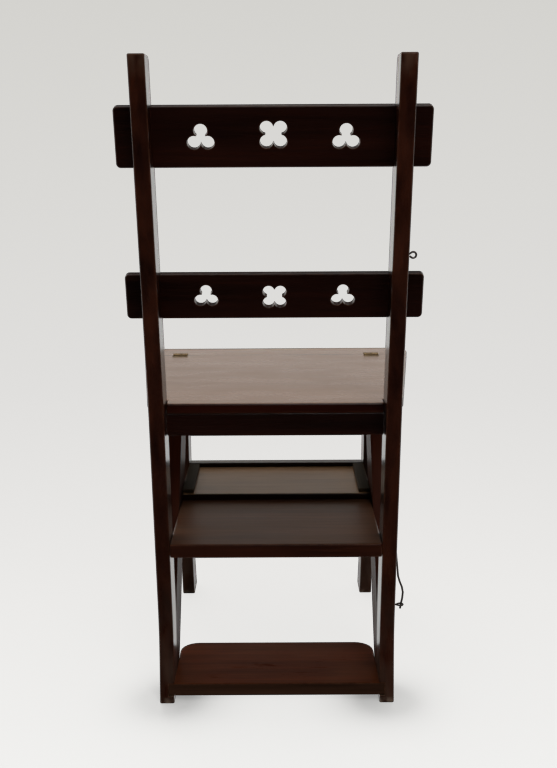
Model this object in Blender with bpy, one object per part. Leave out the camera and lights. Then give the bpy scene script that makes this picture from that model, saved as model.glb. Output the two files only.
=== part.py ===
"""Library step chair: a mahogany chair whose back half turns over to make a flight of steps.

Metres, +Z up, the sitter faces -Y. The chair comes apart along a line that runs down from
the seat's hinges to the rear feet: the front half stays on the floor, the back half turns over.
"""

import math

import bmesh
import bpy
from mathutils import Matrix, Vector

# Whole chair. A reach is measured forward from the back of the rear feet.
HEIGHT = 0.900
OVERALL_WIDTH = 0.3402
SIDE_THICKNESS = 0.0205
BACK_RAKE = 0.136
TOE_REACH = 0.455
SIDES = {"left": 1, "right": -1}

# Fits
FIT = 0.0003
LANDING_GAP = 0.0006
OVERRUN = 0.010
ARRIS = 0.0015
CRISP_ARRIS = 0.0005

# Stiles: a knee near the floor, a bend at the seat, and a straight raked back
FOOT_DEPTH = 0.048
KNEE_HEIGHT = 0.100
KNEE_REACH = 0.014
KNEE_DEPTH = 0.049
KNEE_RADIUS = 0.250
BEND_SETBACK = 0.035
BEND_DEPTH = 0.050
BEND_RADIUS = 0.300
STILE_TOP_DEPTH = 0.044
STILE_TOP_RADIUS = 0.012

# Seat
SEAT_THICKNESS = 0.0145
SEAT_OVERHANG = 0.004
SEAT_FRONT_REACH = 0.410
SEAT_REAR_WIDTH = 0.350
SEAT_FRONT_WIDTH = 0.454
SEAT_CORNER_RADIUS = 0.030
SEAT_EAR_RADIUS = 0.018
SEAT_ARRIS = 0.0025
HINGE_REACH = 0.349
HINGE_RISE = 0.0003

# Rails under the seat
APRON_WIDTH = 0.032
APRON_THICKNESS = 0.018
APRON_SETBACK = 0.004
FRONT_RAIL_WIDTH = 0.040
FRONT_RAIL_THICKNESS = 0.018
FRONT_RAIL_SETBACK = 0.004

# The two diagonals meet on the line where the chair comes apart
SPLIT_FOOT = 0.0275
SPLIT_SETBACK = 0.025
DIAGONAL_WIDTH = 0.0385

# Sabre legs
LEG_TOP_DEPTH = 0.047
LEG_SETBACK = 0.004
LEG_FOOT_DEPTH = 0.052
LEG_BACK_POWER = 2.4
LEG_FRONT_POWER = 3.2
LEG_STEPS = 9

# Treads
FRONT_TREAD_TOP = 0.255
FRONT_TREAD_THICKNESS = 0.018
FRONT_TREAD_DEPTH = 0.150
FRONT_TREAD_OVERHANG = 0.003
TREAD_RAIL_WIDTH = 0.035
TREAD_RAIL_THICKNESS = 0.016
TREAD_RAIL_RISE = 0.007
CLEAT_WIDTH = 0.0185
CLEAT_RISE = 0.006
CLEAT_STOP = 0.005
TREAD_PARTING = 0.004
MIDDLE_TREAD_TOP = 0.247
MIDDLE_TREAD_THICKNESS = 0.020
MIDDLE_TREAD_DEPTH = 0.201
BOTTOM_TREAD_TOP = 0.029
BOTTOM_TREAD_THICKNESS = 0.019
BOTTOM_TREAD_FRONT = 0.140
BOTTOM_TREAD_RADIUS = 0.028
HOUSING_DEPTH = 0.0085
HOUSING_STOP = 0.004
TREAD_ARRIS = 0.002

# Back rails: let into the stiles' front edges, with pierced foils
RAIL_THICKNESS = 0.0105
RAIL_LET_IN = 0.006
RAIL_CORNER_RADIUS = 0.0055
TREFOIL_SPACING = 0.180
TOP_RAIL = {
    "centre_height": 0.806,
    "width": 0.0761,
    "length": 0.393,
    "lobe_radius": 0.0087,
    "spread_radius": 0.0099,
    "quatrefoil_rise": 0.0030,
    "trefoil_rise": -0.0016,
}
LOWER_RAIL = {
    "centre_height": 0.6015,
    "width": 0.0617,
    "length": 0.391,
    "lobe_radius": 0.0081,
    "spread_radius": 0.0089,
    "quatrefoil_rise": -0.0008,
    "trefoil_rise": -0.0006,
}
QUATREFOIL_SPREAD_SHARE = 1.22

# Back-flap hinges
HINGE_CENTRE = 0.160
LEAF_LENGTH = 0.024
LEAF_WIDTH = 0.018
LEAF_THICKNESS = 0.0016
KNUCKLES = 3
KNUCKLE_RADIUS = 0.0028
KNUCKLE_GAP = 0.0005
PIN_RADIUS = 0.0012

# Iron stay: a long hook on the sitter's right, held by three screw-eyes
STAY_EYE_OUTER_LENGTH = 0.0108
STAY_PIVOT_HEIGHT = 0.400
STAY_WIRE_RADIUS = 0.0011
STAY_LOOP_SWEEP = math.radians(285)
STAY_BOW = 0.0050
STAY_BOW_LENGTH = 0.050
STAY_BEND_RADIUS = 0.005
STAY_TIP_LENGTH = 0.012
STAY_TIP_RISE = 0.006
EYE_WIRE_RADIUS = 0.0010
EYE_RADIUS = 0.0039
EYE_NECK_LENGTH = 0.0068
EYE_SHANK_LENGTH = 0.012
EYE_RETURN_SHARE = 0.5
LOWER_EYE_HEIGHT = 0.137
LOWER_EYE_SETBACK = 0.0215
UPPER_EYE_OUTER_LENGTH = 0.0074
UPPER_EYE_THREAD_LENGTH = 0.008
UPPER_HOOK_HEIGHT = 0.660
UPPER_HOOK_SETBACK = 0.0335

# Places that follow from those sizes
REAR_FOOT_Y = (TOE_REACH - BACK_RAKE) / 2
OUTER_FACE = OVERALL_WIDTH / 2
INNER_FACE = OUTER_FACE - SIDE_THICKNESS
HINGE_HEIGHT = (HEIGHT + LANDING_GAP) / 2
SEAT_TOP = HINGE_HEIGHT - HINGE_RISE
SEAT_UNDER = SEAT_TOP - SEAT_THICKNESS
RAIL_TOP = SEAT_UNDER - FIT
SPLIT_RUN = (HINGE_REACH - SPLIT_SETBACK - SPLIT_FOOT) / SEAT_UNDER
DIAGONAL_REACH = DIAGONAL_WIDTH * math.sqrt(1 + SPLIT_RUN ** 2)
LEG_BACK = HINGE_REACH - LEG_SETBACK
LEG_FRONT = LEG_BACK + LEG_TOP_DEPTH

# Fineness of round forms
ARC_STEP = math.radians(15)
FOIL_STEP = math.radians(20)
STAY_BEND_STEPS = 3
SHARP_ANGLE = math.radians(30)
ROUND_SIDES = 16

# Where an outline's two axes and its thickness lie: (a, b, c) to x, y, z
SIDE_VIEW = Matrix(((0, 0, 1), (-1, 0, 0), (0, 1, 0)))
PLAN_VIEW = Matrix(((1, 0, 0), (0, -1, 0), (0, 0, 1)))
FRONT_VIEW = Matrix(((1, 0, 0), (0, 0, -1), (0, 1, 0)))

MATERIALS = {
    "mahogany": ((0.060, 0.016, 0.009), 0.28, 0.0),
    "tread_mahogany": ((0.105, 0.040, 0.024), 0.35, 0.0),
    "dull_brass": ((0.190, 0.130, 0.060), 0.42, 1.0),
    "iron": ((0.120, 0.105, 0.095), 0.45, 1.0),
}


def clear_scene():
    """Start from an empty scene."""
    for item in list(bpy.data.objects):
        bpy.data.objects.remove(item, do_unlink=True)


def material(name):
    """The named finish, made once."""
    found = bpy.data.materials.get(name)
    if found:
        return found
    colour, roughness, metallic = MATERIALS[name]
    made = bpy.data.materials.new(name)
    made.use_nodes = True
    shader = made.node_tree.nodes["Principled BSDF"]
    shader.inputs["Base Color"].default_value = (*colour, 1)
    shader.inputs["Roughness"].default_value = roughness
    shader.inputs["Metallic"].default_value = metallic
    made.diffuse_color = (*colour, 1)
    return made


def rounded(corners, step=ARC_STEP):
    """The outline through (a, b, radius) corners, each turned by an arc that its edges leave room for."""
    outline = []
    for number, (a, b, radius) in enumerate(corners):
        here = Vector((a, b))
        before = Vector(corners[number - 1][:2]) - here
        after = Vector(corners[(number + 1) % len(corners)][:2]) - here
        half = before.angle(after) / 2
        setback = min(radius / math.tan(half), before.length / 2, after.length / 2)
        if setback <= 0:
            outline.append(here)
            continue
        centre = here + (before.normalized() + after.normalized()).normalized() * setback / math.cos(half)
        start = here + before.normalized() * setback - centre
        sweep = math.pi - 2 * half
        turn = math.copysign(sweep, -before.cross(after))
        count = max(1, math.ceil(sweep / step))
        for tick in range(count + 1):
            outline.append(centre + Matrix.Rotation(turn * tick / count, 2) @ start)
    return [tuple(point) for point in outline]


def mirrored(half):
    """A whole outline from the corners of its +X half, rear first."""
    return half + [(-a, b, radius) for a, b, radius in reversed(half)]


def slab(outline, low, high, view, arris=ARRIS, crisp=None):
    """A board of this outline from low to high, with softened arrises where it isn't crisp."""
    form = bmesh.new()
    base = form.faces.new([form.verts.new((a, b, low)) for a, b in outline])
    raised = bmesh.ops.extrude_face_region(form, geom=[base])["geom"]
    lifted = [item for item in raised if isinstance(item, bmesh.types.BMVert)]
    bmesh.ops.translate(form, verts=lifted, vec=(0, 0, high - low))
    bmesh.ops.recalc_face_normals(form, faces=form.faces)
    if arris:
        edges = [edge for edge in form.edges if edge.is_convex and edge.calc_face_angle() > SHARP_ANGLE]
        if crisp:
            edges = [edge for edge in edges if not crisp(*((edge.verts[0].co + edge.verts[1].co) / 2))]
        bmesh.ops.bevel(form, geom=edges, offset=arris, segments=2, profile=0.5, affect="EDGES",
                        clamp_overlap=True)
    form.transform(view.to_4x4())
    form.normal_update()
    bmesh.ops.recalc_face_normals(form, faces=form.faces)
    mesh = bpy.data.meshes.new("slab")
    form.to_mesh(mesh)
    form.free()
    return mesh


def joined(meshes):
    """One mesh that holds several, which stay apart from each other."""
    form = bmesh.new()
    for mesh in meshes:
        form.from_mesh(mesh)
    whole = bpy.data.meshes.new("joined")
    form.to_mesh(whole)
    form.free()
    return whole


def rod(start, end, radius):
    """A round bar from start to end along X."""
    form = bmesh.new()
    bmesh.ops.create_cone(form, cap_ends=True, segments=ROUND_SIDES, radius1=radius, radius2=radius,
                          depth=end - start)
    lie = Matrix.Translation(((start + end) / 2, 0, 0)) @ Matrix.Rotation(math.pi / 2, 4, "Y")
    form.transform(lie)
    mesh = bpy.data.meshes.new("rod")
    form.to_mesh(mesh)
    form.free()
    mesh.shade_smooth()
    mesh.set_sharp_from_angle(angle=SHARP_ANGLE)
    return mesh


def on_floor(reach=0.0, height=0.0, across=0.0):
    """The world place of a reach and a height."""
    return Vector((across, REAR_FOOT_Y - reach, height))


def carried(item, parent):
    """Hang an object on an empty and keep its world place."""
    if parent:
        item.parent = parent
        item.matrix_parent_inverse = Matrix.Translation(parent.location).inverted()


def piece(name, mesh, finish, parent=None, place=None, lean=0.0):
    """One physical piece, placed at its own reference point."""
    mesh.name = name
    mesh.materials.append(material(finish))
    item = bpy.data.objects.new(name, mesh)
    item.location = place if place else on_floor()
    item.rotation_euler = (-lean, 0, 0)
    bpy.context.scene.collection.objects.link(item)
    carried(item, parent)
    return item


def cutter(name, mesh, place=None, lean=0.0):
    """A hidden form that only cuts others."""
    item = piece(name, mesh, "mahogany", None, place, lean)
    item.hide_render = True
    item.display_type = "WIRE"
    return item


def combine(item, other, operation):
    """Cut one object by another, or join it to it."""
    change = item.modifiers.new(other.name, "BOOLEAN")
    change.operation = operation
    change.solver = "EXACT"
    change.object = other


def pivot(name, place):
    """An empty that stands on a joint's axis."""
    item = bpy.data.objects.new(name, None)
    item.location = place
    bpy.context.scene.collection.objects.link(item)
    return item


def wire(name, points, radius, finish, parent, place):
    """A bent wire along the points, which are relative to its place."""
    curve = bpy.data.curves.new(name, "CURVE")
    curve.dimensions = "3D"
    curve.bevel_depth = radius
    curve.bevel_resolution = 2
    curve.use_fill_caps = True
    spline = curve.splines.new("POLY")
    spline.points.add(len(points) - 1)
    for knot, point in zip(spline.points, points):
        knot.co = (*point, 1)
    curve.materials.append(material(finish))
    item = bpy.data.objects.new(name, curve)
    item.location = place
    bpy.context.scene.collection.objects.link(item)
    carried(item, parent)
    return item


def stile_edges():
    """The corner points of a stile's back and front edges, from the floor up."""
    back = [(0, 0), (KNEE_REACH, KNEE_HEIGHT), (-BEND_SETBACK, SEAT_TOP), (-BACK_RAKE, HEIGHT)]
    depths = [FOOT_DEPTH, KNEE_DEPTH, BEND_DEPTH, STILE_TOP_DEPTH]
    front = [(reach + depth, height) for (reach, height), depth in zip(back, depths)]
    return back, front


def edge_reach(edge, height):
    """How far forward an edge lies at a height."""
    for (low_reach, low), (high_reach, high) in zip(edge, edge[1:]):
        if height <= high:
            break
    return low_reach + (high_reach - low_reach) * (height - low) / (high - low)


def back_slope():
    """The direction up the back's front edge and the one square to it, as (reach, height)."""
    front = stile_edges()[1]
    up = (Vector(front[3]) - Vector(front[2])).normalized()
    return up, Vector((up.y, -up.x))


def rail_centre(height):
    """The point on the back's front edge at a height."""
    return Vector((edge_reach(stile_edges()[1], height), height))


def split_reach(height):
    """How far forward the chair's parting line lies at a height."""
    return SPLIT_FOOT + SPLIT_RUN * height


def seat_half_width(reach):
    """Half the seat's width, which grows towards the front."""
    share = reach / SEAT_FRONT_REACH
    return (SEAT_REAR_WIDTH + (SEAT_FRONT_WIDTH - SEAT_REAR_WIDTH) * share) / 2


def side_pieces(name, outline, finish, parent, arris=ARRIS):
    """The same piece in the left and the right side of the chair."""
    made = {}
    for side, sign in SIDES.items():
        low, high = sorted((sign * INNER_FACE, sign * OUTER_FACE))
        made[side] = piece(f"{name}_{side}", slab(outline, low, high, SIDE_VIEW, arris), finish, parent)
    return made


def stiles(parent):
    """Rear leg and back post in one, notched at the front for the two back rails."""
    back, front = stile_edges()
    up, ahead = back_slope()
    corners = [(*back[0], 0), (*front[0], 0), (*front[1], KNEE_RADIUS), (*front[2], BEND_RADIUS)]
    for rail in (LOWER_RAIL, TOP_RAIL):
        centre = rail_centre(rail["centre_height"])
        half = up * (rail["width"] / 2 + FIT)
        depth = ahead * (RAIL_LET_IN + FIT)
        corners += [(*point, 0) for point in (centre - half, centre - half - depth,
                                               centre + half - depth, centre + half)]
    corners += [(*front[3], STILE_TOP_RADIUS), (*back[3], 0), (*back[2], BEND_RADIUS),
                (*back[1], KNEE_RADIUS)]
    return side_pieces("stile", rounded(corners), "mahogany", parent)


def stile_clearance():
    """A cutter that leaves a fit in front of both stiles' lower parts."""
    back, front = stile_edges()
    corners = [(back[0][0], -OVERRUN, 0), (front[0][0] + FIT, -OVERRUN, 0)]
    corners += [(front[0][0] + FIT, 0, 0), (front[1][0] + FIT, front[1][1], KNEE_RADIUS)]
    corners += [(front[2][0] + FIT, front[2][1], 0), (back[2][0], back[2][1], 0)]
    half = OUTER_FACE + OVERRUN
    return cutter("stile_clearance", slab(rounded(corners), -half, half, SIDE_VIEW, 0))


def foil(lobes, spread, lobe, turned):
    """The outline of round lobes about a centre, cusp to cusp."""
    step = math.pi / lobes
    cusp = spread * math.cos(step) + math.sqrt(lobe ** 2 - (spread * math.sin(step)) ** 2)
    open_angle = math.atan2(cusp * math.sin(step), cusp * math.cos(step) - spread)
    count = math.ceil(2 * open_angle / FOIL_STEP)
    outline = []
    for number in range(lobes):
        towards = turned + 2 * step * number
        for tick in range(count):
            angle = towards - open_angle + 2 * open_angle * tick / count
            outline.append((spread * math.cos(towards) + lobe * math.cos(angle),
                            spread * math.sin(towards) + lobe * math.sin(angle)))
    return outline


def back_rail(name, rail, parent):
    """A rail pierced with a quatrefoil between two trefoils."""
    up, _ = back_slope()
    lean = math.atan2(-up.x, up.y)
    place = on_floor(*rail_centre(rail["centre_height"]))
    half, top = rail["length"] / 2, rail["width"] / 2
    corners = mirrored([(half, -top, RAIL_CORNER_RADIUS), (half, top, RAIL_CORNER_RADIUS)])
    front = RAIL_THICKNESS - RAIL_LET_IN
    board = slab(rounded(corners), -RAIL_LET_IN, front, FRONT_VIEW)
    made = piece(name, board, "mahogany", parent, place, lean)
    trefoil = foil(3, rail["spread_radius"], rail["lobe_radius"], math.pi / 2)
    quatrefoil = foil(4, rail["spread_radius"] * QUATREFOIL_SPREAD_SHARE, rail["lobe_radius"], math.pi / 4)
    shapes = [[(a, b + rail["quatrefoil_rise"]) for a, b in quatrefoil]]
    for sign in SIDES.values():
        shapes.append([(a + sign * TREFOIL_SPACING / 2, b + rail["trefoil_rise"]) for a, b in trefoil])
    low, high = -RAIL_LET_IN - OVERRUN, front + OVERRUN
    holes = joined([slab(shape, low, high, FRONT_VIEW, 0) for shape in shapes])
    combine(made, cutter(f"{name}_foils", holes, place, lean), "DIFFERENCE")
    return made


def seat_board(parent):
    """The seat's back part, notched round the stiles and cut off along the hinge line."""
    notch = edge_reach(stile_edges()[1], SEAT_UNDER) + FIT
    front = HINGE_REACH - FIT / 2
    half = [(INNER_FACE - FIT, -SEAT_OVERHANG, 0), (INNER_FACE - FIT, notch, 0),
            (seat_half_width(notch), notch, SEAT_EAR_RADIUS), (seat_half_width(front), front, 0)]
    board = slab(rounded(mirrored(half)), SEAT_UNDER, SEAT_TOP, PLAN_VIEW, SEAT_ARRIS,
                 crisp=lambda across, reach, height: reach > front - FIT)
    return piece("seat_board", board, "mahogany", parent)


def front_strip():
    """The seat's fixed front part, with rounded corners."""
    rear = HINGE_REACH + FIT / 2
    half = [(seat_half_width(rear), rear, 0),
            (seat_half_width(SEAT_FRONT_REACH), SEAT_FRONT_REACH, SEAT_CORNER_RADIUS)]
    board = slab(rounded(mirrored(half)), SEAT_UNDER, SEAT_TOP, PLAN_VIEW, SEAT_ARRIS,
                 crisp=lambda across, reach, height: reach < rear + FIT)
    return piece("front_strip", board, "mahogany")


def crossbar(name, rear, depth, low, high, finish, parent=None, arris=ARRIS):
    """A straight bar between the chair's two sides."""
    outline = [(rear, low), (rear + depth, low), (rear + depth, high), (rear, high)]
    half = INNER_FACE - FIT
    return piece(name, slab(outline, -half, half, SIDE_VIEW, arris), finish, parent)


def side_rails(parent):
    """Under the seat, from each stile to the parting line."""
    front = stile_edges()[1]
    low = RAIL_TOP - APRON_WIDTH
    outline = [(edge_reach(front, low) + FIT, low), (split_reach(low) - FIT / 2, low),
               (split_reach(RAIL_TOP) - FIT / 2, RAIL_TOP), (edge_reach(front, RAIL_TOP) + FIT, RAIL_TOP)]
    return side_pieces("side_rail", outline, "mahogany", parent)


def braces(parent, clearance):
    """The back half's diagonals, from the side rails down to the stiles' knees."""
    top = RAIL_TOP - APRON_WIDTH - FIT
    front = stile_edges()[1]
    rear = -FIT / 2 - DIAGONAL_REACH
    low_reach, high_reach = front[0][0] - KNEE_DEPTH / 2, front[1][0] - KNEE_DEPTH / 2
    foot = (low_reach, (low_reach - SPLIT_FOOT + FIT / 2) / SPLIT_RUN)
    heel = (high_reach, (high_reach - SPLIT_FOOT - rear) / SPLIT_RUN)
    outline = [heel, foot, (split_reach(top) - FIT / 2, top), (split_reach(top) + rear, top)]
    made = side_pieces("brace", outline, "mahogany", parent, CRISP_ARRIS)
    for item in made.values():
        combine(item, clearance, "DIFFERENCE")


def leg_edge(top_reach, sweep, power):
    """A sabre leg's edge from the top down: it sweeps forward faster and faster."""
    points = []
    for tick in range(LEG_STEPS + 1):
        share = tick / LEG_STEPS
        points.append((top_reach + sweep * share ** power, RAIL_TOP * (1 - share)))
    return points


def leg_outline(grow=0.0, rise=0.0):
    """A front leg in side view, its back edge moved back by grow and its top up by rise."""
    back = leg_edge(LEG_BACK, TOE_REACH - LEG_FOOT_DEPTH - LEG_BACK, LEG_BACK_POWER)
    front = leg_edge(LEG_FRONT, TOE_REACH - LEG_FRONT, LEG_FRONT_POWER)
    outline = [(reach - grow, height) for reach, height in back] + front[::-1]
    if rise:
        outline += [(LEG_FRONT, RAIL_TOP + rise), (LEG_BACK - grow, RAIL_TOP + rise)]
    return outline


def struts(clearance):
    """The front half's diagonals, from the legs' tops down to the floor at the stiles."""
    outline = [(split_reach(0) + FIT / 2, 0), (split_reach(0) + DIAGONAL_REACH, 0),
               (split_reach(RAIL_TOP) + DIAGONAL_REACH, RAIL_TOP),
               (split_reach(RAIL_TOP) + FIT / 2, RAIL_TOP)]
    half = OUTER_FACE + OVERRUN
    leg = cutter("leg_clearance", slab(leg_outline(FIT, OVERRUN), -half, half, SIDE_VIEW, 0))
    for item in side_pieces("strut", outline, "mahogany", None, CRISP_ARRIS).values():
        combine(item, clearance, "DIFFERENCE")
        combine(item, leg, "DIFFERENCE")


def front_tread():
    """The front half's step: a board, the rail before it and a cleat at each end."""
    rear = split_reach(FRONT_TREAD_TOP) - FRONT_TREAD_OVERHANG
    front = rear + FRONT_TREAD_DEPTH
    crossbar("front_tread", rear, FRONT_TREAD_DEPTH, FRONT_TREAD_TOP - FRONT_TREAD_THICKNESS,
             FRONT_TREAD_TOP, "tread_mahogany")
    rail_top = FRONT_TREAD_TOP + TREAD_RAIL_RISE
    crossbar("tread_rail", front + FIT, TREAD_RAIL_THICKNESS, rail_top - TREAD_RAIL_WIDTH, rail_top,
             "mahogany")
    low = FRONT_TREAD_TOP + FIT
    outer = INNER_FACE - FIT
    for side, sign in SIDES.items():
        edges = sorted((sign * (outer - CLEAT_WIDTH), sign * outer))
        outline = [(edges[0], rear + CLEAT_STOP), (edges[1], rear + CLEAT_STOP), (edges[1], front),
                   (edges[0], front)]
        strip = slab(outline, low, low + CLEAT_RISE, PLAN_VIEW)
        piece(f"tread_cleat_{side}", strip, "mahogany")
    return rear


def back_treads(parent, front_edge, stile_pair):
    """The back half's two steps: one between the sides, one housed in the stiles' feet."""
    crossbar("middle_tread", front_edge - TREAD_PARTING - MIDDLE_TREAD_DEPTH, MIDDLE_TREAD_DEPTH,
             MIDDLE_TREAD_TOP - MIDDLE_TREAD_THICKNESS, MIDDLE_TREAD_TOP, "tread_mahogany", parent,
             TREAD_ARRIS)
    low = BOTTOM_TREAD_TOP - BOTTOM_TREAD_THICKNESS
    rear = edge_reach(stile_edges()[0], BOTTOM_TREAD_TOP)
    shoulder = FOOT_DEPTH - HOUSING_STOP
    housed = INNER_FACE + HOUSING_DEPTH
    half = [(housed - FIT, rear, 0), (housed - FIT, shoulder, 0), (INNER_FACE - FIT, shoulder, 0),
            (INNER_FACE - FIT, BOTTOM_TREAD_FRONT, BOTTOM_TREAD_RADIUS)]
    board = slab(rounded(mirrored(half)), low, BOTTOM_TREAD_TOP, PLAN_VIEW, TREAD_ARRIS,
                 crisp=lambda across, reach, height: abs(across) > INNER_FACE)
    piece("bottom_tread", board, "tread_mahogany", parent)
    outline = [(-housed, -OVERRUN), (housed, -OVERRUN), (housed, shoulder + FIT), (-housed, shoulder + FIT)]
    housing = slab(outline, low - FIT, BOTTOM_TREAD_TOP + FIT, PLAN_VIEW, 0)
    housing_cutter = cutter("tread_housing", housing)
    for item in stile_pair.values():
        combine(item, housing_cutter, "DIFFERENCE")


def leaf_outline(first, forward):
    """A hinge leaf in plan about the axis, with a finger under each of its own knuckles."""
    knuckle = LEAF_LENGTH / KNUCKLES
    near = KNUCKLE_RADIUS + FIT
    outline = []
    for number in range(KNUCKLES):
        start = -LEAF_LENGTH / 2 + number * knuckle
        own = number % 2 == first
        reach = 0 if own else near
        trim = FIT / 2 if own else -FIT / 2
        left = start + (trim if number else 0)
        right = start + knuckle - (trim if number < KNUCKLES - 1 else 0)
        outline += [(left, reach * forward), (right, reach * forward)]
    outline += [(LEAF_LENGTH / 2, LEAF_WIDTH * forward), (-LEAF_LENGTH / 2, LEAF_WIDTH * forward)]
    return outline


def hinge_leaf(name, place, first, forward, bore, parent):
    """A leaf with its knuckles, let flush into the seat."""
    top = -HINGE_RISE
    plate = slab(leaf_outline(first, forward), top - LEAF_THICKNESS, top, PLAN_VIEW, 0)
    made = piece(name, plate, "dull_brass", parent, place)
    knuckle = LEAF_LENGTH / KNUCKLES
    barrels = []
    for number in range(first, KNUCKLES, 2):
        start = -LEAF_LENGTH / 2 + number * knuckle
        left = start + (FIT / 2 if number else 0)
        right = start + knuckle - (FIT / 2 if number < KNUCKLES - 1 else 0)
        barrels.append(rod(left, right, KNUCKLE_RADIUS))
    combine(made, cutter(f"{name}_knuckles", joined(barrels), place), "UNION")
    combine(made, bore, "DIFFERENCE")
    return made


def hinges(parent, boards):
    """Two back-flap hinges, let into the seat on both sides of the hinge line."""
    for side, sign in SIDES.items():
        place = on_floor(HINGE_REACH, HINGE_HEIGHT, sign * HINGE_CENTRE)
        half = LEAF_LENGTH / 2
        bore = cutter(f"pin_bore_{side}", rod(-half - OVERRUN, half + OVERRUN, PIN_RADIUS + FIT), place)
        hinge_leaf(f"hinge_plate_{side}", place, 0, 1, bore, None)
        hinge_leaf(f"hinge_flap_{side}", place, 1, -1, bore, parent)
        piece(f"hinge_pin_{side}", rod(-half, half, PIN_RADIUS), "iron", None, place)
        edge, width = half + FIT, LEAF_WIDTH + FIT
        outline = [(-edge, -width), (edge, -width), (edge, width), (-edge, width)]
        recess = slab(outline, -HINGE_RISE - LEAF_THICKNESS - FIT, OVERRUN, PLAN_VIEW, 0)
        recess_cutter = cutter(f"leaf_recess_{side}", recess, place)
        groove = rod(-edge, edge, KNUCKLE_RADIUS + KNUCKLE_GAP)
        groove_cutter = cutter(f"knuckle_groove_{side}", groove, place)
        for board in boards:
            combine(board, recess_cutter, "DIFFERENCE")
            combine(board, groove_cutter, "DIFFERENCE")


def screw_eye(name, place, standout, sideways, parent, wood):
    """A wire eye screwed into the right side: shank, teardrop ring and an open end."""
    outward = Vector((SIDES["right"], 0, 0))
    tangent = math.acos(EYE_RADIUS / EYE_NECK_LENGTH)
    centre = outward * standout
    points = [outward * -EYE_SHANK_LENGTH, outward * (standout - EYE_NECK_LENGTH)]
    sweep = 2 * (math.pi - tangent)
    count = math.ceil(sweep / FOIL_STEP)
    for tick in range(count + 1):
        angle = tangent + sweep * tick / count
        points.append(centre + EYE_RADIUS * (sideways * math.sin(angle) - outward * math.cos(angle)))
    points.append(points[-1].lerp(points[1], EYE_RETURN_SHARE))
    wire(name, points, EYE_WIRE_RADIUS, "iron", parent, place)
    deep = EYE_SHANK_LENGTH + FIT
    hole = cutter(f"{name}_hole", rod(-OVERRUN, deep, EYE_WIRE_RADIUS + FIT), place)
    combine(wood, hole, "DIFFERENCE")


def stay_places():
    """In side view: the two eyes on the stile, the stay's pivot and the axis it swings about.

    The hook drops into the lower eye. Once the back half is turned over, it threads the upper
    one, so the pivot is as far from both places and the axis lies halfway between them.
    """
    front = stile_edges()[1]
    lower = Vector((edge_reach(front, LOWER_EYE_HEIGHT) - LOWER_EYE_SETBACK, LOWER_EYE_HEIGHT))
    over = lower + Vector((0, STAY_TIP_RISE))
    held = Vector((edge_reach(front, UPPER_HOOK_HEIGHT) - UPPER_HOOK_SETBACK, UPPER_HOOK_HEIGHT))
    turned = 2 * Vector((HINGE_REACH, HINGE_HEIGHT)) - held
    middle, apart = (over + turned) / 2, turned - over
    centre = Vector((middle.x - (STAY_PIVOT_HEIGHT - middle.y) * apart.y / apart.x, STAY_PIVOT_HEIGHT))
    run = (turned - centre).normalized()
    axis = -((over - centre).normalized() + run).normalized()
    return lower, held + run * UPPER_EYE_THREAD_LENGTH, centre, axis


def stay(leg, stile, parent):
    """The stay's three eyes and its hook, which swings outward from one eye to the other."""
    lower, upper, centre, axis = stay_places()
    outer = SIDES["right"] * OUTER_FACE
    swing = Vector((0, -axis.x, axis.y))
    across = Vector((0, axis.y, axis.x))
    screw_eye("stay_eye", on_floor(*centre, outer), STAY_EYE_OUTER_LENGTH, across, None, leg)
    screw_eye("lower_eye", on_floor(*lower, outer), STAY_EYE_OUTER_LENGTH, Vector((0, 1, 0)), parent, stile)
    screw_eye("upper_eye", on_floor(*upper, outer), UPPER_EYE_OUTER_LENGTH, Vector((0, 0, 1)), parent, stile)
    place = on_floor(*centre, outer + SIDES["right"] * STAY_EYE_OUTER_LENGTH)
    swing_pivot = pivot("stay_pivot", place)
    end = on_floor(*lower, place.x) - place
    hang = EYE_RADIUS - EYE_WIRE_RADIUS - STAY_WIRE_RADIUS - FIT
    loop_centre = across * EYE_RADIUS - swing * hang
    over = end + Vector((0, 0, STAY_TIP_RISE))
    ahead = over - loop_centre
    towards = math.atan2(ahead.dot(swing), -ahead.dot(across))
    leave = towards + math.acos(EYE_RADIUS / ahead.length)
    count = math.ceil(STAY_LOOP_SWEEP / FOIL_STEP)
    flat = []
    for tick in range(count + 1):
        angle = leave - STAY_LOOP_SWEEP * (1 - tick / count)
        flat.append(loop_centre + EYE_RADIUS * (swing * math.sin(angle) - across * math.cos(angle)))
    run = (over - flat[-1]).normalized()
    length = (over - flat[-1]).length
    steps = math.ceil(STAY_BOW_LENGTH / (EYE_NECK_LENGTH + EYE_RADIUS))
    start = flat[-1]
    for tick in range(steps + 1):
        share = 1 - STAY_BOW_LENGTH / length * (1 - tick / steps)
        flat.append(start + run * (length * share - STAY_BEND_RADIUS * tick / steps))
    down = Vector((0, 0, -1))
    shares = [tick / STAY_BEND_STEPS for tick in range(1, STAY_BEND_STEPS + 1)]
    bend = [flat[-1].lerp(over, share).lerp(over.lerp(over + down * STAY_BEND_RADIUS, share), share)
            for share in shares]
    flat += bend + [over + down * STAY_TIP_LENGTH]
    points = []
    for point in flat:
        along = min(max(1 - (flat[-1] - point).length / STAY_BOW_LENGTH, 0), 1)
        bow = STAY_BOW * math.sin(math.pi * along) ** 2
        points.append(point + Vector((SIDES["right"] * bow, 0, 0)))
    wire("stay_hook", points, STAY_WIRE_RADIUS, "iron", swing_pivot, place)


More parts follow.
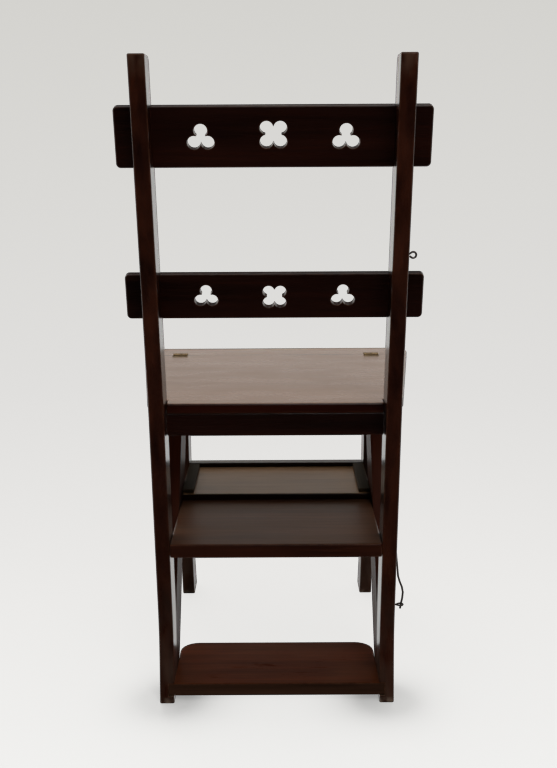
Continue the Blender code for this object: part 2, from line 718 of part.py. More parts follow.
def main():
    """Build the chair: the front half stands, the back half hangs on the seat's hinges."""
    clear_scene()
    turning = pivot("back_pivot", on_floor(HINGE_REACH, HINGE_HEIGHT))
    clearance = stile_clearance()
    legs = side_pieces("front_leg", leg_outline(), "mahogany", None)
    struts(clearance)
    strip = front_strip()
    crossbar("front_rail", LEG_FRONT - FRONT_RAIL_SETBACK - FRONT_RAIL_THICKNESS, FRONT_RAIL_THICKNESS,
             RAIL_TOP - FRONT_RAIL_WIDTH, RAIL_TOP, "mahogany")
    front_edge = front_tread()
    stile_pair = stiles(turning)
    back_rail("top_rail", TOP_RAIL, turning)
    back_rail("lower_rail", LOWER_RAIL, turning)
    board = seat_board(turning)
    crossbar("rear_apron", APRON_SETBACK - SEAT_OVERHANG, APRON_THICKNESS, RAIL_TOP - APRON_WIDTH,
             RAIL_TOP, "mahogany", turning)
    side_rails(turning)
    braces(turning, clearance)
    back_treads(turning, front_edge, stile_pair)
    hinges(turning, (board, strip))
    stay(legs["right"], stile_pair["right"], turning)


main()
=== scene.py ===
"""Looks of the library step chair: polished mahogany, dull brass hinges and an iron stay."""

import math

import bmesh
import bpy
from mathutils import Matrix, Vector


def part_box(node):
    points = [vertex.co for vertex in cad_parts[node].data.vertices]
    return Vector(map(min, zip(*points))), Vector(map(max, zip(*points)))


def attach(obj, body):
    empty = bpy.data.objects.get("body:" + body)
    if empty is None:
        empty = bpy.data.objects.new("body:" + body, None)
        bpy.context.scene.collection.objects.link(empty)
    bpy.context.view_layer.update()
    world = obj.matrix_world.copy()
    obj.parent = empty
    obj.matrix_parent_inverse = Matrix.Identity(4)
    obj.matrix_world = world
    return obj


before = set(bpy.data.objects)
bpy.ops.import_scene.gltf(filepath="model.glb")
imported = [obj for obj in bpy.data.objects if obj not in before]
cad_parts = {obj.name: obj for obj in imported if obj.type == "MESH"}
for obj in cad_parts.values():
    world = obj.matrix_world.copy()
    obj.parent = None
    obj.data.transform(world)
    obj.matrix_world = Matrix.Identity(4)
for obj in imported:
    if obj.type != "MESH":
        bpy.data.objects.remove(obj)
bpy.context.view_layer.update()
scene = bpy.context.scene
scene.view_settings.view_transform = "Standard"

# The camera stands behind the chair, a little below its top, close to the chair's centre
# plane and tipped down at the seat, as the photograph was taken.
FOCAL_PX = 1101.0
FRAME_HEIGHT_PX = 768
CAMERA_PLACE = (-0.0053, 1.6288, 0.7960)
CAMERA_TIP = math.radians(12.29)
CAMERA_TURN = math.radians(0.025)
CAMERA_ROLL = math.radians(-0.30)
camera_data = bpy.data.cameras.new("camera")
camera_data.sensor_fit = "VERTICAL"
camera_data.sensor_height = 24.0
camera_data.lens = camera_data.sensor_height * FOCAL_PX / FRAME_HEIGHT_PX
camera = bpy.data.objects.new("camera", camera_data)
camera.location = CAMERA_PLACE
turn = Matrix.Rotation(math.pi + CAMERA_TURN, 4, "Z")
tip = Matrix.Rotation(math.pi / 2 - CAMERA_TIP, 4, "X")
roll = Matrix.Rotation(CAMERA_ROLL, 4, "Z")
camera.rotation_euler = (turn @ tip @ roll).to_euler()
scene.collection.objects.link(camera)
scene.camera = camera

# The room is a studio with a pale backdrop. Polish mirrors it low down beyond the chair's
# front; behind the camera and overhead the room is dark, so faces turned that way stay deep.
world = bpy.data.worlds.new("studio")
scene.world = world
world.use_nodes = True
world.cycles.sampling_method = "NONE"
sky = world.node_tree
sky.nodes.clear()
direction = sky.nodes.new("ShaderNodeTexCoord")
split = sky.nodes.new("ShaderNodeSeparateXYZ")
sky.links.new(direction.outputs["Generated"], split.inputs["Vector"])


def sky_ramp(stops):
    """A colour for each height; a stop is a direction's upward part and its colour."""
    opened = sky.nodes.new("ShaderNodeMapRange")
    opened.inputs["From Min"].default_value = -1.0
    sky.links.new(split.outputs["Z"], opened.inputs["Value"])
    ramp = sky.nodes.new("ShaderNodeValToRGB")
    points = ramp.color_ramp.elements
    points[1].position, points[0].position = (stops[-1][0] + 1) / 2, (stops[0][0] + 1) / 2
    for place, colour in stops[1:-1]:
        points.new((place + 1) / 2)
    for point, (place, colour) in zip(points, stops):
        point.color = (*colour, 1)
    sky.links.new(opened.outputs["Result"], ramp.inputs["Fac"])
    return ramp.outputs["Color"]


def front_to_back(ahead, front_level, behind, back_level):
    """A level that changes from the directions ahead to those behind."""
    node = sky.nodes.new("ShaderNodeMapRange")
    node.interpolation_type = "SMOOTHSTEP"
    for socket, value in (("From Min", ahead), ("To Min", front_level), ("From Max", behind),
                          ("To Max", back_level)):
        node.inputs[socket].default_value = value
    sky.links.new(split.outputs["Y"], node.inputs["Value"])
    return node.outputs["Result"]


BACKDROP = [(-0.52, (0.890, 0.888, 0.873)), (-0.39, (0.838, 0.831, 0.815)),
            (-0.21, (0.745, 0.738, 0.723)), (0.12, (0.658, 0.651, 0.624))]
MIRRORED = [(-0.50, (0.90, 0.89, 0.87)), (-0.25, (1.00, 0.985, 0.96)), (0.20, (0.98, 0.96, 0.92)),
            (0.28, (0.62, 0.60, 0.56)), (0.315, (0.50, 0.48, 0.44)), (0.345, (0.09, 0.085, 0.08)),
            (0.37, (0.02, 0.019, 0.017))]
AMBIENT = [(-0.2, (0.80, 0.78, 0.75)), (0.3, (1.0, 0.985, 0.96))]
path = sky.nodes.new("ShaderNodeLightPath")
layers = []
for stops, strength, ray in ((AMBIENT, front_to_back(-1.0, 1.0, 0.8, 0.0), None),
                             (MIRRORED, front_to_back(-0.75, 1.0, 0.15, 0.0), "Is Glossy Ray"),
                             (BACKDROP, None, "Is Camera Ray")):
    light = sky.nodes.new("ShaderNodeBackground")
    sky.links.new(sky_ramp(stops), light.inputs["Color"])
    if strength:
        sky.links.new(strength, light.inputs["Strength"])
    if ray:
        choose = sky.nodes.new("ShaderNodeMixShader")
        sky.links.new(path.outputs[ray], choose.inputs["Fac"])
        sky.links.new(layers[-1], choose.inputs[1])
        sky.links.new(light.outputs["Background"], choose.inputs[2])
        light = choose
    layers.append(light.outputs[0])
sky.links.new(layers[-1], sky.nodes.new("ShaderNodeOutputWorld").inputs["Surface"])

# The floor and four far screens round it only catch the chair's shadow, so no edge of theirs
# shows in a picture. The floor's own glow keeps that shadow faint, but near the rear feet the
# glow is turned down, which deepens the shadow there. The lamps are soft boxes.
FLOOR_HALF = 12.0
SCREEN_HEIGHT = 12.0
FLOOR_GLOW = 6.5
FOOT_GLOW = 0.5
FOOT_GLOW_REACH = 0.03
FLOOR_GLOW_REACH = 0.15
REAR_FOOT = (0.160, 0.150 + FLOOR_HALF, 0.0)
corners = [(x * FLOOR_HALF, y * FLOOR_HALF) for x, y in ((1, 1), (-1, 1), (-1, -1), (1, -1))]
floor_form, screen_form = bmesh.new(), bmesh.new()
floor_form.faces.new([floor_form.verts.new((x, y, 0)) for x, y in corners])
for first, last in zip(corners, corners[1:] + corners[:1]):
    outline = [(*first, 0), (*last, 0), (*last, SCREEN_HEIGHT), (*first, SCREEN_HEIGHT)]
    screen_form.faces.new([screen_form.verts.new(corner) for corner in outline])
paper = bpy.data.materials.new("pale_floor")
paper.use_nodes = True
paper_shader = paper.node_tree.nodes["Principled BSDF"]
paper_shader.inputs["Base Color"].default_value = (0.78, 0.775, 0.76, 1)
paper_shader.inputs["Roughness"].default_value = 0.9
paper_shader.inputs["Specular IOR Level"].default_value = 0.0
paper_shader.inputs["Emission Color"].default_value = (1, 1, 1, 1)
seen = paper.node_tree.nodes.new("ShaderNodeLightPath")
spot = paper.node_tree.nodes.new("ShaderNodeNewGeometry").outputs["Position"]
for operation, value in (("ADD", (0, FLOOR_HALF, 0)), ("ABSOLUTE", None), ("DISTANCE", REAR_FOOT)):
    step = paper.node_tree.nodes.new("ShaderNodeVectorMath")
    step.operation = operation
    if value:
        step.inputs[1].default_value = value
    paper.node_tree.links.new(spot, step.inputs[0])
    spot = step.outputs["Value"] if operation == "DISTANCE" else step.outputs["Vector"]
lit = paper.node_tree.nodes.new("ShaderNodeMapRange")
lit.interpolation_type = "SMOOTHSTEP"
for socket, value in (("From Min", FOOT_GLOW_REACH), ("From Max", FLOOR_GLOW_REACH),
                      ("To Min", FOOT_GLOW), ("To Max", FLOOR_GLOW)):
    lit.inputs[socket].default_value = value
paper.node_tree.links.new(spot, lit.inputs["Value"])
glow = paper.node_tree.nodes.new("ShaderNodeMath")
glow.operation = "MULTIPLY"
paper.node_tree.links.new(seen.outputs["Is Camera Ray"], glow.inputs[0])
paper.node_tree.links.new(lit.outputs["Result"], glow.inputs[1])
paper.node_tree.links.new(glow.outputs[0], paper_shader.inputs["Emission Strength"])
for name, form in (("floor", floor_form), ("screens", screen_form)):
    mesh = bpy.data.meshes.new(name)
    form.to_mesh(mesh)
    form.free()
    mesh.materials.append(paper)
    catcher = bpy.data.objects.new(name, mesh)
    catcher.is_shadow_catcher = True
    catcher.visible_glossy = False
    catcher.visible_diffuse = catcher.visible_shadow = name == "floor"
    scene.collection.objects.link(catcher)
for name, place, size, watts, mirrored in (("overhead", (0.2, -0.5, 2.6), 2.2, 26.0, True),
                                           ("front", (0.5, -2.6, 0.9), 1.6, 36.0, False),
                                           ("behind", (-0.5, 2.2, 2.3), 1.4, 30.0, True)):
    lamp_data = bpy.data.lights.new(name, "AREA")
    lamp_data.size = size
    lamp_data.energy = watts
    lamp = bpy.data.objects.new(name, lamp_data)
    lamp.location = place
    lamp.rotation_euler = (Vector((0, 0, 0.4)) - Vector(place)).to_track_quat("-Z", "Y").to_euler()
    lamp.visible_glossy = mirrored
    scene.collection.objects.link(lamp)

# The stiles, rear leg and back post in one, are sawn from dark mahogany and polished. Their
# grain runs up the post, their arrises are rubbed brown and carry a painted highlight, and
# their ends are scuffed pale.


def new_group(name, inputs, outputs):
    """An empty shader node group with its named sockets."""
    group = bpy.data.node_groups.new(name, "ShaderNodeTree")
    for socket, kind, value in inputs:
        made = group.interface.new_socket(socket, in_out="INPUT", socket_type=kind)
        if value is not None:
            made.default_value = value
    for socket, kind in outputs:
        group.interface.new_socket(socket, in_out="OUTPUT", socket_type=kind)
    return group, group.nodes.new("NodeGroupInput"), group.nodes.new("NodeGroupOutput")


def sums(tree, operation, first, second):
    """What a sum makes of two values, each a socket or a plain number."""
    node = tree.nodes.new("ShaderNodeMath")
    node.operation = operation
    for socket, value in zip(node.inputs, (first, second)):
        if isinstance(value, (int, float)):
            socket.default_value = value
        else:
            tree.links.new(value, socket)
    return node.outputs[0]


def noise(tree, vector, stretch, detail=3.0, roughness=0.55):
    """Noise over a vector stretched by a triple of scales per metre."""
    scaled = tree.nodes.new("ShaderNodeVectorMath")
    scaled.operation = "MULTIPLY"
    scaled.inputs[1].default_value = stretch
    tree.links.new(vector, scaled.inputs[0])
    cloud = tree.nodes.new("ShaderNodeTexNoise")
    cloud.inputs["Scale"].default_value = 1.0
    cloud.inputs["Detail"].default_value = detail
    cloud.inputs["Roughness"].default_value = roughness
    tree.links.new(scaled.outputs[0], cloud.inputs["Vector"])
    return cloud.outputs["Fac"]


def spread(tree, value, low, high):
    """The value between low and high, opened out to 0 to 1."""
    node = tree.nodes.new("ShaderNodeMapRange")
    node.inputs["From Min"].default_value = low
    node.inputs["From Max"].default_value = high
    tree.links.new(value, node.inputs["Value"])
    return node.outputs["Result"]


def mahogany_grain():
    """Grain along Z once turned: broad ribbon figure, fine streaks and short open pores."""
    group, source, sink = new_group(
        "mahogany_grain",
        [("Vector", "NodeSocketVector", None), ("Turn", "NodeSocketVector", None),
         ("Shift", "NodeSocketVector", None)],
        [("Ribbon", "NodeSocketFloat"), ("Streaks", "NodeSocketFloat"),
         ("Pores", "NodeSocketFloat")])
    turned = group.nodes.new("ShaderNodeMapping")
    group.links.new(source.outputs["Vector"], turned.inputs["Vector"])
    group.links.new(source.outputs["Turn"], turned.inputs["Rotation"])
    group.links.new(source.outputs["Shift"], turned.inputs["Location"])
    along = turned.outputs["Vector"]
    for name, stretch, detail, rough, low, high in (
            ("Ribbon", (42, 42, 2.6), 4.0, 0.55, 0.32, 0.68),
            ("Streaks", (380, 380, 9), 5.0, 0.65, 0.30, 0.72),
            ("Pores", (1500, 1500, 70), 2.0, 0.55, 0.60, 0.70)):
        figure = noise(group, along, stretch, detail, rough)
        group.links.new(spread(group, figure, low, high), sink.inputs[name])
    return group


def rubbed_and_highlit_edges():
    """Edges broken up by noise: polish rubbed through by hands and cloths, and on wood a painted
    highlight along the arrises.
    """
    group, source, sink = new_group(
        "rubbed_and_highlit_edges",
        [("Vector", "NodeSocketVector", None), ("Reach", "NodeSocketFloat", 0.002)],
        [("Rubbed And Highlit", "NodeSocketFloat")])
    soft = group.nodes.new("ShaderNodeBevel")
    group.links.new(source.outputs["Reach"], soft.inputs["Radius"])
    plain = group.nodes.new("ShaderNodeNewGeometry")
    facing = group.nodes.new("ShaderNodeVectorMath")
    facing.operation = "DOT_PRODUCT"
    group.links.new(soft.outputs["Normal"], facing.inputs[0])
    group.links.new(plain.outputs["Normal"], facing.inputs[1])
    edge = spread(group, sums(group, "SUBTRACT", 1.0, facing.outputs["Value"]), 0.01, 0.16)
    cloud = noise(group, source.outputs["Vector"], (70, 70, 70), 5.0, 0.7)
    broken = spread(group, cloud, 0.38, 0.62)
    group.links.new(sums(group, "MULTIPLY", edge, broken), sink.inputs["Rubbed And Highlit"])
    return group


def handling_marks():
    """Fine scratches and cloudy patches in polish that is leant and trodden on."""
    group, source, sink = new_group(
        "handling_marks",
        [("Vector", "NodeSocketVector", None), ("Scratch Scale", "NodeSocketFloat", 26.0)],
        [("Scratches", "NodeSocketFloat"), ("Clouds", "NodeSocketFloat")])
    warp = group.nodes.new("ShaderNodeTexNoise")
    warp.inputs["Scale"].default_value = 9.0
    group.links.new(source.outputs["Vector"], warp.inputs["Vector"])
    bent = group.nodes.new("ShaderNodeVectorMath")
    bent.operation = "MULTIPLY_ADD"
    bent.inputs[1].default_value = (0.06, 0.06, 0.06)
    group.links.new(warp.outputs["Color"], bent.inputs[0])
    group.links.new(source.outputs["Vector"], bent.inputs[2])
    cells = group.nodes.new("ShaderNodeTexVoronoi")
    cells.feature = "DISTANCE_TO_EDGE"
    group.links.new(bent.outputs["Vector"], cells.inputs["Vector"])
    group.links.new(source.outputs["Scratch Scale"], cells.inputs["Scale"])
    line = spread(group, cells.outputs["Distance"], 0.014, 0.0)
    here = spread(group, noise(group, source.outputs["Vector"], (31, 31, 31)), 0.56, 0.66)
    group.links.new(sums(group, "MULTIPLY", line, here), sink.inputs["Scratches"])
    cloud = noise(group, source.outputs["Vector"], (9, 21, 11), 5.0, 0.6)
    group.links.new(spread(group, cloud, 0.33, 0.70), sink.inputs["Clouds"])
    return group


GROUPS = {"grain": mahogany_grain(), "edges": rubbed_and_highlit_edges(), "marks": handling_marks()}


def placed(tree, key, vector):
    """One of the shared groups, placed in a material over a vector."""
    node = tree.nodes.new("ShaderNodeGroup")
    node.node_tree = GROUPS[key]
    tree.links.new(vector, node.inputs["Vector"])
    return node


def mixed(tree, factor, first, second):
    """A mix of two colours, each a socket or a plain triple."""
    node = tree.nodes.new("ShaderNodeMix")
    node.data_type = "RGBA"
    tree.links.new(factor, node.inputs["Factor"])
    for name, value in (("A", first), ("B", second)):
        socket = next(item for item in node.inputs if item.name == name and item.type == "RGBA")
        if isinstance(value, tuple):
            socket.default_value = (*value, 1)
        else:
            tree.links.new(value, socket)
    return next(item for item in node.outputs if item.type == "RGBA")


def wood(name, tones, turn, shift, gloss=0.24, shine=0.35, rub_and_highlight=0.6, trodden=None, scuffs=(),
         sides=0.0):
    """Polished mahogany in two tones of figure.

    Where its top is trodden it has two more tones, a haze, a share of streaks and a dullness.
    Each scuff lies toward one end, and sides is a coat on the faces that look across the chair.
    """
    made = bpy.data.materials.new(name)
    made.use_nodes = True
    tree = made.node_tree
    shader = tree.nodes["Principled BSDF"]
    coordinates = tree.nodes.new("ShaderNodeTexCoord")
    place = coordinates.outputs["Object"]
    grain = placed(tree, "grain", place)
    grain.inputs["Turn"].default_value = turn
    grain.inputs["Shift"].default_value = shift
    colour = mixed(tree, grain.outputs["Ribbon"], *tones)
    deep = tuple(value * DEEPER for value in tones[0])
    for figure, share in (("Streaks", STREAK_SHARE), ("Pores", PORE_SHARE)):
        darkened = sums(tree, "MULTIPLY", grain.outputs[figure], share)
        colour = mixed(tree, darkened, colour, deep)
    rough = sums(tree, "MULTIPLY_ADD", grain.outputs["Streaks"], STREAK_ROUGHNESS)
    rough.node.inputs[2].default_value = gloss
    if trodden:
        low, high, haze, streaked, dulled = trodden
        upright = tree.nodes.new("ShaderNodeSeparateXYZ")
        tree.links.new(coordinates.outputs["Normal"], upright.inputs["Vector"])
        top = spread(tree, upright.outputs["Z"], *TOP_FACING)
        marks = placed(tree, "marks", place)
        worn = mixed(tree, grain.outputs["Ribbon"], low, high)
        darker = tuple(value * WORN_DEEPER for value in low)
        for mark, share, tone in ((marks.outputs["Clouds"], HAZE_SHARE, haze),
                                  (grain.outputs["Streaks"], streaked, darker),
                                  (marks.outputs["Scratches"], SCRATCH_SHARE, darker)):
            worn = mixed(tree, sums(tree, "MULTIPLY", mark, share), worn, tone)
        colour = mixed(tree, top, colour, worn)
        cloudy = sums(tree, "MULTIPLY", marks.outputs["Clouds"], HAZE_ROUGHNESS)
        duller = sums(tree, "MULTIPLY", top, sums(tree, "ADD", cloudy, dulled))
        rough = sums(tree, "ADD", rough, duller)
    # The arrises turn a paler brown: partly polish rubbed through, partly a painted highlight.
    edges = placed(tree, "edges", place)
    rubbed = sums(tree, "MULTIPLY", edges.outputs["Rubbed And Highlit"], rub_and_highlight)
    colour = mixed(tree, rubbed, colour, RUBBED_AND_HIGHLIT)
    if scuffs:
        height = tree.nodes.new("ShaderNodeSeparateXYZ")
        tree.links.new(place, height.inputs["Vector"])
    for clear, worst, stretch, tone, share in scuffs:
        near = spread(tree, height.outputs["Z"], clear, worst)
        ragged = spread(tree, noise(tree, place, stretch, 4.0), *RAGGED)
        scuff = sums(tree, "MULTIPLY", sums(tree, "MULTIPLY", near, ragged), share)
        colour = mixed(tree, scuff, colour, tone)
        rough = sums(tree, "ADD", rough, sums(tree, "MULTIPLY", scuff, SCUFF_ROUGHNESS))
    tree.links.new(colour, shader.inputs["Base Color"])
    tree.links.new(rough, shader.inputs["Roughness"])
    shader.inputs["Specular IOR Level"].default_value = min(shine, SIDE_SHINE) if trodden else shine
    if trodden and shine > SIDE_SHINE:
        shader.inputs["Coat Roughness"].default_value = gloss + dulled + COAT_DULLER
        coat = sums(tree, "MULTIPLY", top, COAT_SHARE * (shine - SIDE_SHINE))
        tree.links.new(coat, shader.inputs["Coat Weight"])
    if sides:
        across = tree.nodes.new("ShaderNodeSeparateXYZ")
        tree.links.new(coordinates.outputs["Normal"], across.inputs["Vector"])
        sideways = sums(tree, "ABSOLUTE", across.outputs["X"], 0.0)
        facing = spread(tree, sideways, *SIDE_FACING)
        shader.inputs["Coat Roughness"].default_value = SIDE_GLOSS
        tree.links.new(sums(tree, "MULTIPLY", facing, sides), shader.inputs["Coat Weight"])
    bump = tree.nodes.new("ShaderNodeBump")
    bump.inputs["Strength"].default_value = TRODDEN_RELIEF if trodden else RELIEF
    bump.inputs["Distance"].default_value = GRAIN_DEPTH
    relief = sums(tree, "SUBTRACT", grain.outputs["Streaks"], grain.outputs["Pores"])
    tree.links.new(relief, bump.inputs["Height"])
    tree.links.new(bump.outputs["Normal"], shader.inputs["Normal"])
    return made


def dress(node, material):
    """Give a CAD node its finish."""
    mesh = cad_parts[node].data
    mesh.materials.clear()
    mesh.materials.append(material)


ACROSS = (0.0, math.radians(90), 0.0)
FORE_AND_AFT = (math.radians(90), 0.0, 0.0)
POST_RED = ((0.011, 0.0022, 0.0008), (0.048, 0.0105, 0.0038))
DEEP_RED = ((0.008, 0.0016, 0.0006), (0.022, 0.0042, 0.0015))
# Paler brown for the arrises: worn polish and a painted highlight in one colour.
RUBBED_AND_HIGHLIT = (0.19, 0.080, 0.040)
DEEPER, WORN_DEEPER = 0.45, 0.5
STREAK_SHARE, PORE_SHARE, HAZE_SHARE, SCRATCH_SHARE = 0.42, 0.5, 0.5, 0.35
STREAK_ROUGHNESS, HAZE_ROUGHNESS, SCUFF_ROUGHNESS = 0.08, 0.10, 0.25
SIDE_SHINE, SIDE_GLOSS = 0.14, 0.12
COAT_SHARE, COAT_DULLER = 1.1, 0.05
RELIEF, TRODDEN_RELIEF, GRAIN_DEPTH = 0.25, 0.04, 0.0002
TOP_FACING, SIDE_FACING, RAGGED = (0.55, 0.92), (0.80, 0.97), (0.36, 0.62)
FOOT = ((0.20, 0.0, (60, 60, 18), (0.075, 0.045, 0.030), 0.55),
        (0.009, 0.0, (140, 140, 140), (0.26, 0.19, 0.14), 0.9))
CROWN = ((0.870, 0.904, (90, 90, 30), (0.120, 0.068, 0.040), 0.45),)
POST_END = ((0.06, 0.03, 0.018), (0.10, 0.055, 0.035), (0.12, 0.08, 0.05), 0.3, 0.2)
for number, side in enumerate(("left", "right")):
    dress(f"stile_{side}", wood(f"stile_polish_{side}", POST_RED, (math.radians(-8), 0, 0),
                                (number * 0.7, 0.3, 0), shine=SIDE_SHINE, rub_and_highlight=0.7,
                                trodden=POST_END, scuffs=FOOT + CROWN, sides=0.30))

# The two back rails are thin boards let into the stiles' front edges. Their foils are cut
# with a fretsaw, so the cut walls are plain and the grain runs straight across.
for number, rail in enumerate(("top_rail", "lower_rail")):
    dress(rail, wood(f"{rail}_polish", DEEP_RED, ACROSS, (0.2 + number * 0.6, 0.1, 0), shine=0.18))

# The seat is one wide board and a fixed strip, with the hinges let in across the join, where
# grime has gathered. Its top has faded to a soft brown under hands and dusters; its edges
# keep the dark polish.
FADED = ((0.152, 0.065, 0.026), (0.172, 0.075, 0.031), (0.195, 0.102, 0.054), 0.12, -0.03)
EDGE_RED = ((0.014, 0.0020, 0.0006), (0.042, 0.0056, 0.0016))
JOIN_GRIME = (0.022, 0.010, 0.005)
JOIN_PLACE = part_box("front_strip")[1][1]
JOIN_CLEAN, JOIN_DIRTY = 0.0030, 0.0008
for board in ("seat_board", "front_strip"):
    polish = wood(f"{board}_polish", EDGE_RED, ACROSS, (0.0, 0.5, 0.0), shine=0.48, rub_and_highlight=0.7,
                  trodden=FADED)
    tree = polish.node_tree
    shade = tree.nodes["Principled BSDF"].inputs["Base Color"]
    place = tree.nodes.new("ShaderNodeTexCoord").outputs["Object"]
    along = tree.nodes.new("ShaderNodeSeparateXYZ")
    tree.links.new(place, along.inputs["Vector"])
    away = sums(tree, "ABSOLUTE", sums(tree, "SUBTRACT", along.outputs["Y"], JOIN_PLACE), 0.0)
    ragged = spread(tree, noise(tree, place, (45, 45, 45), 4.0), 0.40, 0.62)
    grime = sums(tree, "MULTIPLY", spread(tree, away, JOIN_CLEAN, JOIN_DIRTY), ragged)
    tree.links.new(mixed(tree, grime, shade.links[0].from_socket, JOIN_GRIME), shade)
    dress(board, polish)

# The apron and the rails under the seat are plain lengths of the same wood, screwed from
# inside. They are out of the light and keep their first dark polish.
for number, rail in enumerate(("rear_apron", "front_rail", "tread_rail")):
    dress(rail, wood(f"{rail}_polish", DEEP_RED, ACROSS, (number * 0.4, 0.8, 0), rub_and_highlight=0.45))
for number, side in enumerate(("left", "right")):
    dress(f"side_rail_{side}", wood(f"side_rail_polish_{side}", DEEP_RED, FORE_AND_AFT,
                                    (number * 0.5, 0, 0.4)))

# The diagonals come in pairs: the brace goes with the back half, the strut stays with the
# front. They are a little redder than the stiles, with grain along their slope.
SLOPE = (math.radians(-34), 0.0, 0.0)
RED = ((0.026, 0.0058, 0.0022), (0.072, 0.0150, 0.0058))
for number, side in enumerate(("left", "right")):
    for row, part in enumerate(("brace", "strut")):
        dress(f"{part}_{side}", wood(f"{part}_polish_{side}", RED, SLOPE,
                                     (number * 0.6, row * 0.3, 0), gloss=0.42, shine=0.04,
                                     rub_and_highlight=0.5, scuffs=FOOT))

# The front legs are sawn to a sabre sweep from the same plank as the stiles. Like the rear
# feet they stand on bare end grain, scuffed pale.
# These tones are painted lighter than the stiles' red: painted light for the front legs, which get
# little light where they stand.
LIT_LEG_RED = ((0.020, 0.0072, 0.0038), (0.070, 0.0240, 0.0120))
for number, side in enumerate(("left", "right")):
    dress(f"front_leg_{side}", wood(f"front_leg_polish_{side}", LIT_LEG_RED,
                                    (math.radians(10), 0, 0), (0.1 + number * 0.5, 0.9, 0),
                                    shine=0.15, scuffs=FOOT))

# Feet have worn the polish off the treads, most of all off the front one, which shows bare
# brown wood between the cleats along its ends.
DUSTY_RED = ((0.022, 0.0095, 0.0052), (0.062, 0.0270, 0.0150))
TRODDEN = {
    "front_tread": ((0.230, 0.115, 0.044), (0.355, 0.182, 0.076),
                    (0.450, 0.262, 0.132), 0.50, 0.04),
    "middle_tread": ((0.046, 0.0145, 0.0048), (0.110, 0.037, 0.0130),
                     (0.135, 0.066, 0.033), 0.45, 0.02),
    "bottom_tread": ((0.042, 0.0076, 0.0016), (0.112, 0.0225, 0.0050),
                     (0.122, 0.0370, 0.0115), 0.50, -0.04),
}
TREAD_SHINE = {"front_tread": 0.42, "middle_tread": 0.16, "bottom_tread": 0.03}
TREAD_EDGES = {"front_tread": DEEP_RED, "middle_tread": POST_RED, "bottom_tread": DUSTY_RED}
for number, (tread, worn) in enumerate(TRODDEN.items()):
    dress(tread, wood(f"{tread}_polish", TREAD_EDGES[tread], ACROSS, (number * 0.7, 0.2, 0.1),
                      gloss=0.27, shine=TREAD_SHINE[tread], rub_and_highlight=0.9, trodden=worn))
CLEAT = ((0.018, 0.0120, 0.0060), (0.050, 0.034, 0.0170))
for number, side in enumerate(("left", "right")):
    dress(f"tread_cleat_{side}", wood(f"tread_cleat_polish_{side}", CLEAT, FORE_AND_AFT,
                                      (number * 0.3, 0, 0.2), gloss=0.50, shine=0.02,
                                      rub_and_highlight=0.8))

# The hinges are cast brass gone brown, with an iron pin. Two slotted screws hold each leaf,
# their heads filed level with it.


def metal(name, tone, patina, rough, mottle):
    """An old metal: bright where it is rubbed, dull in its patina, which mirrors less."""
    made = bpy.data.materials.new(name)
    made.use_nodes = True
    tree = made.node_tree
    shader = tree.nodes["Principled BSDF"]
    place = tree.nodes.new("ShaderNodeTexCoord").outputs["Object"]
    patches = spread(tree, noise(tree, place, (mottle, mottle, mottle), 5.0, 0.65), *PATCHY)
    edges = placed(tree, "edges", place)
    edges.inputs["Reach"].default_value = METAL_EDGE
    bright = tuple(min(1.0, value * RUBBED_BRIGHTER) for value in tone)
    colour = mixed(tree, edges.outputs["Rubbed And Highlit"], mixed(tree, patches, tone, patina), bright)
    tree.links.new(colour, shader.inputs["Base Color"])
    bare = sums(tree, "SUBTRACT", 1.0, sums(tree, "MULTIPLY", patches, PATINA_SHARE))
    tree.links.new(bare, shader.inputs["Metallic"])
    roughness = sums(tree, "ADD", sums(tree, "MULTIPLY", patches, PATINA_ROUGHNESS), rough)
    tree.links.new(roughness, shader.inputs["Roughness"])
    bump = tree.nodes.new("ShaderNodeBump")
    bump.inputs["Strength"].default_value = METAL_RELIEF
    bump.inputs["Distance"].default_value = PATINA_DEPTH
    tree.links.new(patches, bump.inputs["Height"])
    tree.links.new(bump.outputs["Normal"], shader.inputs["Normal"])
    return made


METAL_EDGE, METAL_RELIEF = 0.0006, 0.3
RUBBED_BRIGHTER = 2.2
PATCHY = (0.36, 0.64)
PATINA_SHARE, PATINA_ROUGHNESS, PATINA_DEPTH = 0.5, 0.2, 0.0001
brass = metal("brown_brass", (0.350, 0.240, 0.120), (0.120, 0.076, 0.040), 0.36, 300)
iron = metal("old_iron", (0.110, 0.100, 0.095), (0.060, 0.042, 0.032), 0.38, 420)
for side in ("left", "right"):
    dress(f"hinge_plate_{side}", brass)
    dress(f"hinge_flap_{side}", brass)
    dress(f"hinge_pin_{side}", iron)


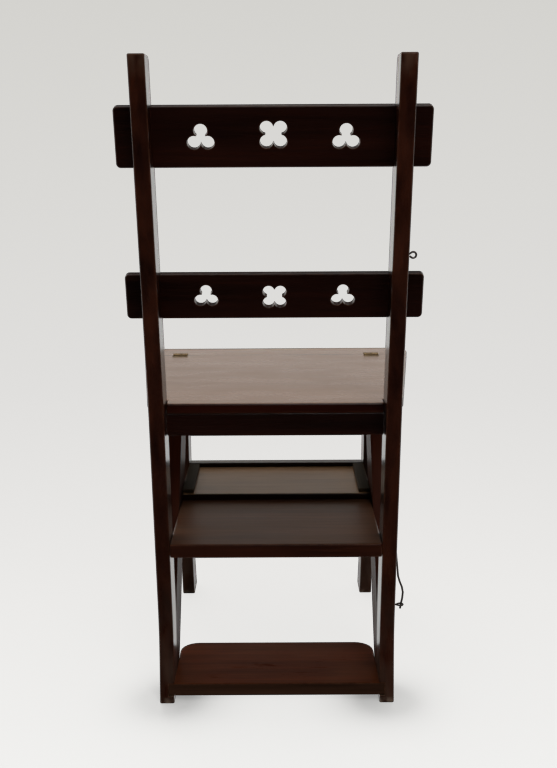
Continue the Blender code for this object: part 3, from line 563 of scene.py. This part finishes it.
def screw_head(name, place, radius, slot_turn, body):
    """A flat slotted screw head: a disc in two halves either side of its slot."""
    slot, proud, sunk = (radius * share for share in (SLOT_SHARE, PROUD_SHARE, SUNK_SHARE))
    form = bmesh.new()
    arc = math.acos(slot / radius)
    for turn in (0.0, math.pi):
        angles = [turn - arc + 2 * arc * tick / ARC_STEPS for tick in range(ARC_STEPS + 1)]
        corners = [form.verts.new((radius * math.cos(angle), radius * math.sin(angle), proud))
                   for angle in angles]
        walls = bmesh.ops.extrude_face_region(form, geom=[form.faces.new(corners)])["geom"]
        lowered = [item for item in walls if isinstance(item, bmesh.types.BMVert)]
        bmesh.ops.translate(form, verts=lowered, vec=(0, 0, -sunk))
    bmesh.ops.recalc_face_normals(form, faces=form.faces)
    arrises = [edge for edge in form.edges if edge.calc_face_angle(0) > ARRIS_ANGLE]
    bmesh.ops.bevel(form, geom=arrises, offset=radius * ARRIS_SHARE, segments=1, affect="EDGES")
    form.transform(Matrix.Translation(place) @ Matrix.Rotation(slot_turn, 4, "Z"))
    mesh = bpy.data.meshes.new(name)
    form.to_mesh(mesh)
    form.free()
    mesh.materials.append(brass)
    head = bpy.data.objects.new(name, mesh)
    scene.collection.objects.link(head)
    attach(head, body)


SCREW_RADIUS = 0.0021
SCREW_SPREAD, SCREW_BACK = 0.28, 0.12
SLOT_SHARE, PROUD_SHARE, SUNK_SHARE, ARRIS_SHARE = 0.14, 0.05, 0.3, 0.04
ARRIS_ANGLE = 1.0
ARC_STEPS = 12
FIRST_SLOT_TURN, NEXT_SLOT_TURN = 0.4, 1.1
for side in ("left", "right"):
    for part, body, forward in (("plate", "front_frame", -1), ("flap", "back_frame", 1)):
        low, high = (Vector(corner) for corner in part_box(f"hinge_{part}_{side}"))
        centre, leaf = (low + high) / 2, high - low
        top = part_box("seat_board")[1][2]
        for number, across in enumerate((-SCREW_SPREAD, SCREW_SPREAD)):
            spot = centre + Vector((across * leaf.x, forward * SCREW_BACK * leaf.y, 0))
            spot.z = top
            name = f"hinge_screw_{part}_{side}_{number + 1}"
            slot_turn = FIRST_SLOT_TURN + NEXT_SLOT_TURN * number
            screw_head(name, spot, SCREW_RADIUS, slot_turn, body)

# The stay is one length of iron wire, forged to an eye and a hook. It swings on a screw-eye
# in the front leg, and drops into a screw-eye in the rear one.
for part in ("stay_hook", "stay_eye", "upper_eye", "lower_eye"):
    dress(part, iron)
